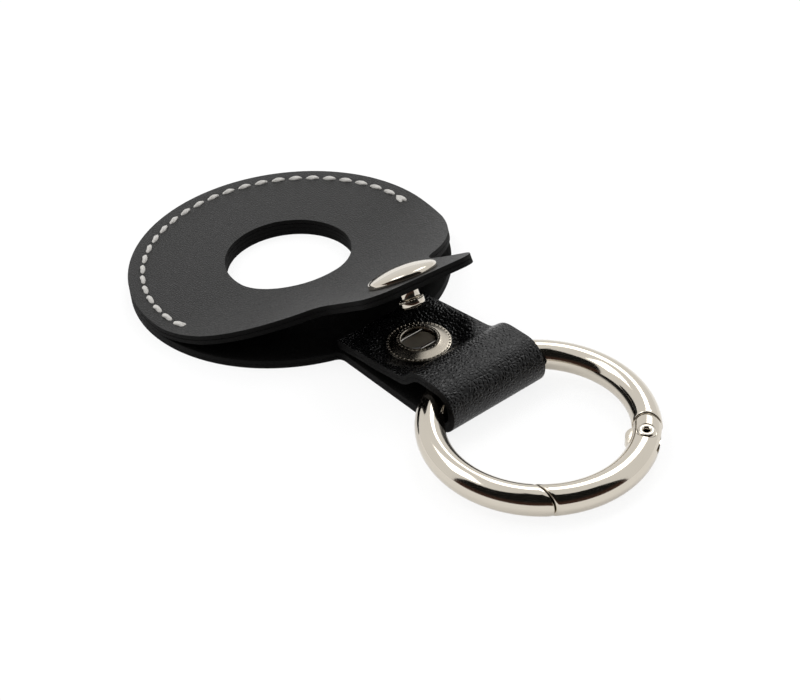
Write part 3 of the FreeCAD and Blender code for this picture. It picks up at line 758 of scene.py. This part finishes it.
def bend_matrix(distance, skew, angle, lift):
    """The turn of a rigid plate about the same bend line, as the CAD makes it."""
    pivot = Vector((distance * math.cos(skew), distance * math.sin(skew), FLAP_MID))
    axis = Vector((-math.sin(skew), math.cos(skew), 0))
    turn = Matrix.Rotation(-angle, 4, axis)
    return Matrix.Translation(pivot + Vector((0, 0, lift))) @ turn @ Matrix.Translation(-pivot)


FLAP_POSE = bend_matrix(**ROOT)
TAB_POSE = FLAP_POSE @ bend_matrix(**BREAK)
print("tab turned up by", round(math.degrees(ROOT["angle"] + BREAK["angle"]), 1), "degrees")

# %% Cut the front in two and fold both halves
CUT_X, CUT_SKEW, TAB_HOLE = 9.3 * MM, -0.113, 0.95 * MM
GLUE = LEATHER - LAYER


def front_half(name, height, skin, keep_tab):
    """The disc or the tab of one layer, folded along both bends."""
    sheet = blank(name, TAB_OUTLINE, height)
    sew_groove(sheet, 4 * LEATHER, FRONT_GROOVE, 1)
    face_up(sheet, 1)
    thicken(sheet, skin)
    edit_all()
    bpy.ops.mesh.bisect(plane_co=(CUT_X, 0, 0), plane_no=(1, CUT_SKEW, 0), use_fill=True,
                        clear_inner=keep_tab, clear_outer=not keep_tab)
    bpy.ops.object.mode_set(mode="OBJECT")
    if keep_tab:
        punch(sheet, TAB_HOLE)
    points = fold(points_of(sheet.data), reach=BREAK_REACH, **BREAK)
    set_points(sheet.data, fold(points, reach=ROOT_REACH, **ROOT))
    return smooth_out(sheet)


for layer, height, skin, slot in (("face", 4 * LEATHER, FACE, "leather"),
                                  ("underside", 3 * LEATHER - GLUE, LINING, "lining")):
    cad_layer = "outer" if layer == "face" else "lining"
    disc = front_half("disc_" + layer, height, skin, False)
    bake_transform(disc)
    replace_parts(disc, "front_" + cad_layer, "flap_" + cad_layer)
    tab = front_half("tab_" + layer, height, skin, True)
    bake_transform(tab)
    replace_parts(tab, "tab_" + cad_layer)

# %% [markdown]
# Stitches
#
# The seam is a lockstitch in thick off-white thread.  One stitch is a sphere drawn out along its
# length, with its plies twisted in by moving its points; it is then copied along the seam.  Each
# stitch slants a little and dips into its holes, and both ends of the seam are sewn back once.

# %% Sew the two rows
STITCHES, FIRST_HOLE, SEAM_ARC, SLANT = 27, 87.5, 194.4, 5
STITCH_HALF, THREAD_HALF = 0.97 * MM, 0.33 * MM
PLIES, PLY_DEPTH, TWIST, DIP = 3, 0.13, 4.2, 0.3
# The back stitch at each end: its place in stitches, its slant in degrees, its shift outwards.
FIRST_BACK, LAST_BACK = (0.55, -24, -0.35 * MM), (STITCHES - 0.45, 16, -0.2 * MM)


def one_stitch(tall):
    """A twisted bean of thread, lowest at its two ends."""
    deselect()
    bpy.ops.mesh.primitive_uv_sphere_add(segments=20, ring_count=14, radius=1,
                                         rotation=(0, math.pi / 2, 0))
    stitch = new_piece("stitch")
    points = points_of(stitch.data)
    round_x = np.arctan2(points[:, 2], points[:, 1])
    plies = 1 + PLY_DEPTH * np.cos(PLIES * round_x + TWIST * points[:, 0])
    belly = np.sqrt(np.maximum(1 - np.abs(points[:, 0]) ** 3, 0))
    radius = np.hypot(points[:, 1], points[:, 2])
    swell = np.where(radius > 0, belly * plies / np.maximum(radius, 1e-9), 0)
    points[:, 1:] *= swell[:, None]
    points *= np.array([STITCH_HALF, THREAD_HALF, tall])
    points[:, 2] -= DIP * tall * (points[:, 0] / STITCH_HALF) ** 2
    set_points(stitch.data, points)
    return stitch


def repeated(pattern, places, name, finish):
    """Copies a pattern to each place, each copy with its own mesh, and joins the copies."""
    copies = []
    for place in places:
        copy = pattern.copy()
        copy.data = pattern.data.copy()
        copy.data.transform(place)
        bpy.context.scene.collection.objects.link(copy)
        copies.append(copy)
    bpy.data.objects.remove(pattern)
    only(copies[0])
    for copy in copies:
        copy.select_set(True)
    bpy.ops.object.join()
    bpy.ops.object.shade_smooth()
    row = new_piece(name)
    row.data.materials.append(finish)
    print(name, "has", len(copies), "copies")
    return row


def sew_row(name, height, tall, facing):
    """A row of stitches on the front (facing 1) or turned over under the back (-1)."""
    pitch = SEAM_ARC / STITCHES
    stitches = [(i + 0.5, SLANT, 0) for i in range(STITCHES)] + [FIRST_BACK, LAST_BACK]
    side = Matrix.Rotation(0 if facing > 0 else math.pi, 4, "X")
    places = []
    for along, slant, shift in stitches:
        angle, radius = math.radians(FIRST_HOLE + pitch * along), STITCH_RADIUS + shift
        spot = (radius * math.cos(angle), radius * math.sin(angle), height)
        turn = Matrix.Rotation(angle + math.pi / 2 + math.radians(slant), 4, "Z")
        places.append(Matrix.Translation(spot) @ turn @ side)
    row = repeated(one_stitch(tall), places, name, THREAD)
    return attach(row, "holder")


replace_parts(sew_row("top_stitches", 4 * LEATHER + 0.02 * MM, 0.3 * MM, 1), "top_thread")
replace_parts(sew_row("bottom_stitches", 0.17 * MM, 0.16 * MM, -1), "bobbin_thread")

# %% [markdown]
# Turned metal: the snap fastener
#
# Socket, eyelet, cap and stud are pressed from sheet and are round, so each is drawn as half a
# section and turned.  The section is walked point by point with extrude and resize from a first
# circle.  Rows of small beads are pressed into the socket and the stud; one bead is copied round.

# %% Turn a section and place beads round it
def turned_piece(name, section, pose, finish, steps=96):
    """section is (radius, height) in millimetres, either a closed loop or ending at radius 0."""
    lid = tuple(section[0]) != tuple(section[-1])
    section = [(radius * MM, height * MM) for radius, height in section]
    radius, height = section[0]
    deselect()
    bpy.ops.mesh.primitive_circle_add(vertices=steps, radius=radius, fill_type="NOTHING",
                                      location=(0, 0, height))
    piece = new_piece(name)
    edit_all()
    for wider, higher in section[1:]:
        bpy.ops.mesh.extrude_region_move(TRANSFORM_OT_translate={"value": (0, 0, higher - height)})
        if wider == 0:
            bpy.ops.mesh.merge(type="CENTER")
            break
        bpy.ops.transform.resize(value=(wider / radius, wider / radius, 1))
        radius, height = wider, higher
    bpy.ops.mesh.select_all(action="SELECT")
    bpy.ops.mesh.remove_doubles(threshold=MERGE)
    bpy.ops.mesh.select_all(action="DESELECT")
    bpy.ops.mesh.select_non_manifold()
    if lid:
        bpy.ops.mesh.edge_face_add()
    face_out()
    smooth_out(piece, SMOOTH_TURNED)
    piece.data.materials.append(finish)
    piece.data.transform(pose)
    return piece


def bead_row(name, count, radius, height, bead, pose, finish):
    """A circle of small beads, with sizes in millimetres."""
    deselect()
    bpy.ops.mesh.primitive_ico_sphere_add(subdivisions=2, radius=bead * MM,
                                          location=(radius * MM, 0, height * MM))
    places = [Matrix.Rotation(2 * math.pi * index / count, 4, "Z") for index in range(count)]
    row = repeated(new_piece("bead"), places, name, finish)
    row.data.transform(pose)
    return row


print("sections are turned about the Z axis")

# %% [markdown]
# Socket on the strap
#
# The socket is a low cone of pressed sheet with a rolled hole at its top.  Under the hole lies a
# hairpin of spring wire whose bars grip the stud.  An eyelet from below goes through all four
# layers and holds it.

# %% Make the socket, its spring and the eyelet
SOCKET_POSE = Matrix.Translation((SOCKET_X, 0, 0))
socket = turned_piece("socket_flange", [
    (4.02, 2.4), (4.11, 2.43), (4.13, 2.5), (4.13, 2.6), (4.09, 2.68), (4.0, 2.71), (3.88, 2.7),
    (3.78, 2.74), (3.65, 2.81), (3.4, 2.94), (3.15, 3.07), (2.9, 3.2), (2.76, 3.26), (2.62, 3.28),
    (2.54, 3.27), (2.48, 3.29), (2.4, 3.3), (2.31, 3.28), (2.24, 3.22), (2.21, 3.14), (2.22, 3.06),
    (2.3, 3.03), (2.94, 3.02), (3.0, 2.98), (3.0, 2.64), (2.96, 2.6), (2.62, 2.6), (2.6, 2.57),
    (2.6, 2.4), (3.3, 2.4), (4.02, 2.4)], SOCKET_POSE, AGED, 128)
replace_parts(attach(socket, "holder"), "socket_shell")
rim_beads = bead_row("socket_rim_beads", 43, 3.93, 2.69, 0.13, SOCKET_POSE, NICKEL)
lip_beads = bead_row("socket_lip_beads", 32, 2.66, 3.26, 0.1, SOCKET_POSE, NICKEL)
eyelet = turned_piece("strap_eyelet", [
    (2.2, 2.6), (2.2, 0.45), (2.24, 0.2), (2.36, 0.06), (2.6, 0.0), (3.3, 0.0), (3.75, 0.01),
    (3.93, 0.06), (4.0, 0.16), (3.97, 0.26), (3.88, 0.3), (2.56, 0.3), (2.55, 0.34), (2.55, 2.56),
    (2.5, 2.6), (2.2, 2.6)], SOCKET_POSE, AGED, 96)
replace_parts(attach(eyelet, "holder"), "socket_post")


def hairpin():
    """Round wire: a straight bar, half a turn and the second bar."""
    level, bar, bend, reach, thick = 2.825 * MM, 1.55 * MM, -1.17 * MM, 2.35 * MM, 0.18 * MM
    deselect()
    bpy.ops.mesh.primitive_circle_add(vertices=16, radius=thick, fill_type="NGON",
                                      location=(reach, bar, level), rotation=(0, -math.pi / 2, 0))
    wire = new_piece("socket_hairpin")
    edit_all()
    bpy.ops.mesh.extrude_region_move(TRANSFORM_OT_translate={"value": (bend - reach, 0, 0)})
    bpy.ops.mesh.spin(steps=24, angle=-math.pi, center=(bend, 0, level), axis=(0, 0, 1))
    bpy.ops.mesh.extrude_region_move(TRANSFORM_OT_translate={"value": (reach - bend, 0, 0)})
    face_out(merge=True)
    smooth_out(wire, SMOOTH_WIRE)
    wire.data.materials.append(WIRE)
    wire.data.transform(SOCKET_POSE @ Matrix.Rotation(math.pi / 2, 4, "Z"))
    return wire


hairpin_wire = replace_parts(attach(hairpin(), "holder"), "socket_spring")
for piece in (rim_beads, lip_beads):
    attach(piece, "holder")
print("socket of", len(socket.data.polygons), "faces")

# %% [markdown]
# Cap and stud on the tab
#
# The cap is a shallow polished dome with an upright side, rolled under at its rim.  The stud below
# the tab has a flat base, a neck, and a barrel-shaped head with a beaded shoulder that snaps
# between the hairpin's bars.

# %% Make the cap and the stud
CAP_POSE = TAB_POSE @ SOCKET_POSE
cap_section = smooth_path(np.array([
    (3.0, 2.42), (4.1, 2.41), (4.34, 2.41), (4.47, 2.43), (4.5, 2.55), (4.5, 2.8), (4.46, 2.99),
    (4.36, 3.13), (4.18, 3.26), (3.9, 3.39), (3.5, 3.53), (2.9, 3.69), (2.2, 3.83), (1.4, 3.94),
    (0.7, 3.99), (0, 4.0)]))
cap = turned_piece("cap_dome", cap_section, CAP_POSE, NICKEL, 128)
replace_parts(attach(cap, "tab"), "snap_cap")
stud = turned_piece("stud_barrel", [
    (1.0, 1.19), (1.9, 1.19), (1.98, 1.15), (2.0, 1.08), (2.0, 0.9), (1.96, 0.8), (1.86, 0.76),
    (1.4, 0.74), (1.28, 0.7), (1.25, 0.6), (1.25, -0.12), (1.29, -0.2), (1.4, -0.27), (1.49, -0.31),
    (1.52, -0.38), (1.52, -0.46), (1.58, -0.5), (1.62, -0.58), (1.6, -1.06), (1.54, -1.22),
    (1.42, -1.32), (1.2, -1.37), (0.72, -1.38), (0.63, -1.42), (0.6, -1.5), (0.52, -1.56),
    (0.3, -1.58), (0, -1.58)], CAP_POSE, NICKEL, 64)
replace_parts(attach(stud, "tab"), "snap_stud")
shoulder_beads = bead_row("stud_shoulder_beads", 24, 1.49, -0.4, 0.11, CAP_POSE, NICKEL)
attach(shoulder_beads, "tab")
print("cap stands at", [round(v / MM, 2) for v in CAP_POSE @ Vector((0, 0, 4 * MM))])

# %% [markdown]
# The gate ring
#
# The ring is bent from polished round wire.  Its near right quarter is a gate on a tubular rivet,
# with a round heel at the hinge and a slanted seam at its tip.  A torus cut by planes would leave
# knife-sharp seams, and polish always rounds them a little.  So a circle is spun into a tube, and
# its rings are then slid along the wire until the last ones lie in the seam's own surface, with a
# small round to each rim.

# %% Describe the wire and its seams
RING_RADIUS, WIRE_RADIUS, RIM = 12.6 * MM, 1.8 * MM, 0.26 * MM
RING_CENTRE, RING_DROP = (49.5 * MM, 0, 2.5 * MM), 0.7 * MM
RING_POSE = Matrix.Translation(RING_CENTRE) @ Matrix.Rotation(
    math.asin(RING_DROP / RING_RADIUS), 4, "Y")
PIN_TURN, HEEL_TURN, TIP_TURN = math.radians(34.7), math.radians(13.9), math.radians(-40)
PIN = RING_RADIUS * Vector((math.cos(PIN_TURN), math.sin(PIN_TURN), 0))
CHORD = 2 * RING_RADIUS * math.sin((PIN_TURN - TIP_TURN) / 2)
HEEL, SEAM_GAP = RING_RADIUS * math.sin(HEEL_TURN), 0.15 * MM
AROUND = 56


def heel_seam(radius):
    """Where a line along the wire meets a cylinder round the pin."""
    def turn_at(out):
        square = out ** 2 + RING_RADIUS ** 2 - radius ** 2
        return PIN_TURN + np.arccos(square / (2 * out * RING_RADIUS))
    return turn_at


def tip_seam(shift, whole_turns=0):
    """Where it meets the plane that stands square to the line from the pin to the tip."""
    def turn_at(out):
        facing = (PIN_TURN + TIP_TURN) / 2 - math.pi / 2
        return facing + np.arccos((CHORD / 2 + shift) / out) + 2 * math.pi * whole_turns
    return turn_at


def wire_rings(first, last, count):
    """Rings of points along the wire: a closed end, a round rim, the run, and the same again."""
    section = np.arange(AROUND) * 2 * math.pi / AROUND

    def out(share):
        return RING_RADIUS + share * WIRE_RADIUS * np.cos(section)

    rim = [(1 - RIM / WIRE_RADIUS * (1 - math.sin(t)), RIM / RING_RADIUS * (1 - math.cos(t)))
           for t in np.radians([0, 30, 60, 90])]
    end = [(share, 0.0) for share in (0, 0.3, 0.6, 0.8)] + rim
    start, stop = first(out(1)) + rim[-1][1], last(out(1)) - rim[-1][1]
    rings = [(first(out(share)) + inset, share) for share, inset in end]
    rings += [(start + (stop - start) * step, 1) for step in np.linspace(0, 1, count)[1:-1]]
    rings += [(last(out(share)) - inset, share) for share, inset in end[::-1]]
    return np.array([np.stack([out(share) * np.cos(turn), out(share) * np.sin(turn),
                               share * WIRE_RADIUS * np.sin(section)], 1) for turn, share in rings])


print("hinge pin at", [round(v / MM, 2) for v in PIN], "mm from the ring's centre")

# %% Spin the tube and slide its rings into place
SWEEP = math.radians(300)


def spun_wire(name, rings):
    """A tube spun from a circle, with each of its points moved to its place in the rings."""
    deselect()
    bpy.ops.mesh.primitive_circle_add(vertices=AROUND, radius=WIRE_RADIUS,
                                      location=(RING_RADIUS, 0, 0), rotation=(math.pi / 2, 0, 0))
    wire = new_piece(name)
    edit_all()
    bpy.ops.mesh.spin(steps=len(rings) - 1, angle=-SWEEP, center=(0, 0, 0), axis=(0, 0, 1))
    bpy.ops.object.mode_set(mode="OBJECT")
    points = points_of(wire.data)
    turn = np.arctan2(points[:, 1], points[:, 0]) % (2 * math.pi)
    along = np.rint(turn * (len(rings) - 1) / SWEEP).astype(int)
    lean = np.arctan2(points[:, 2], np.hypot(points[:, 0], points[:, 1]) - RING_RADIUS)
    around = np.rint(lean * AROUND / (2 * math.pi)).astype(int) % AROUND
    set_points(wire.data, rings[np.where(along >= len(rings), 0, along), around])
    edit_all()
    face_out(merge=True)
    wire.data.materials.append(NICKEL)
    return smooth_out(wire)


body = spun_wire("ring_wire", wire_rings(heel_seam(HEEL), tip_seam(SEAM_GAP / 2, 1), 170))
gate = spun_wire("gate_wire", wire_rings(tip_seam(-SEAM_GAP / 2), heel_seam(HEEL - SEAM_GAP), 80))

# %% [markdown]
# Hinge of the gate
#
# A flat tongue on the ring goes into a slot in the gate's heel, and a tubular rivet with rolled
# heads passes through both.  The tongue's round end stands out a little on the inside of the ring.
# Slot, rivet hole and the seats of the heads are cut with Boolean modifiers, whose tools are then
# thrown away.

# %% Cut the slot and make the tongue and the rivet
SLOT, SLOT_REACH, SLOT_END = 1.47 * MM, 8 * MM, 2.48 * MM
TONGUE, TONGUE_REACH, TONGUE_WIDTH = 1.3 * MM, 4.05 * MM, 2.6 * MM
TONGUE_END, TONGUE_INSET, TONGUE_HOLE = 1.65 * MM, 0.75 * MM, 0.62 * MM
TONGUE_RIM = 0.18 * MM


def bar(name, reach, width, thick):
    """A flat bar in the ring's plane, from the pin towards the hinge's seam."""
    way = PIN_TURN + HEEL_TURN / 2 + math.pi / 2
    middle = PIN + reach / 2 * Vector((math.cos(way), math.sin(way), 0))
    deselect()
    bpy.ops.mesh.primitive_cube_add(size=1, location=middle, rotation=(0, 0, way),
                                    scale=(reach, width, thick))
    return new_piece(name)


AT_PIN = Matrix.Translation(PIN)
rivet_space = turned_piece("rivet_space", [
    (1.17, 2.4), (1.17, 1.35), (0.65, 1.35), (0.65, -1.35), (1.17, -1.35), (1.17, -2.4), (0, -2.4)],
    AT_PIN, NICKEL, 48)
combine(gate, bar("slot_space", SLOT_REACH, SLOT_REACH, SLOT), "DIFFERENCE")
combine(gate, round_tool("slot_end", PIN, SLOT_END, SLOT), "DIFFERENCE")
combine(gate, rivet_space, "DIFFERENCE")
smooth_out(gate)

tongue = round_tool("hinge_tongue", PIN * (1 - TONGUE_INSET / RING_RADIUS), TONGUE_END, TONGUE)
combine(tongue, bar("tongue_bar", TONGUE_REACH, TONGUE_WIDTH, TONGUE), "UNION")
combine(tongue, round_tool("tongue_hole", PIN, TONGUE_HOLE, 2 * TONGUE), "DIFFERENCE")
soften(tongue, TONGUE_RIM)
tongue.data.materials.append(NICKEL)
smooth_out(tongue)

rolled_head = [(0.34, 1.4), (0.36, 1.68), (0.45, 1.82), (0.58, 1.89), (0.74, 1.91), (0.9, 1.87),
               (1.03, 1.78), (1.11, 1.62), (1.13, 1.37), (0.6, 1.36)]
mirrored_head = [(radius, -height) for radius, height in rolled_head[::-1]]
rivet = turned_piece("gate_rivet", rolled_head + mirrored_head + rolled_head[:1],
                     AT_PIN, NICKEL, 48)

# %% [markdown]
# Putting the ring together
#
# The four pieces were made round the ring's own centre, and one matrix lays them in the strap's
# fold.  The leaf spring that closes the gate sits inside it, and the post that joins cap and stud
# inside the leather, so those two stay as the CAD made them and only take a finish.

# %% Lay the ring in the fold and dress the hidden metal
for piece, carrier, nodes in ((body, "ring", ("ring_body",)), (tongue, "ring", ()),
                              (rivet, "ring", ("gate_pin",)), (gate, "gate", ("ring_gate",))):
    piece.data.transform(RING_POSE)
    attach(piece, carrier)
    if nodes:
        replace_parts(piece, *nodes)
for name, finish in (("cap_post", NICKEL), ("gate_spring", WIRE)):
    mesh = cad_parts[name].data
    mesh.materials.clear()
    mesh.materials.append(finish)
print("ring laid at", [round(v / MM, 2) for v in RING_POSE.translation])
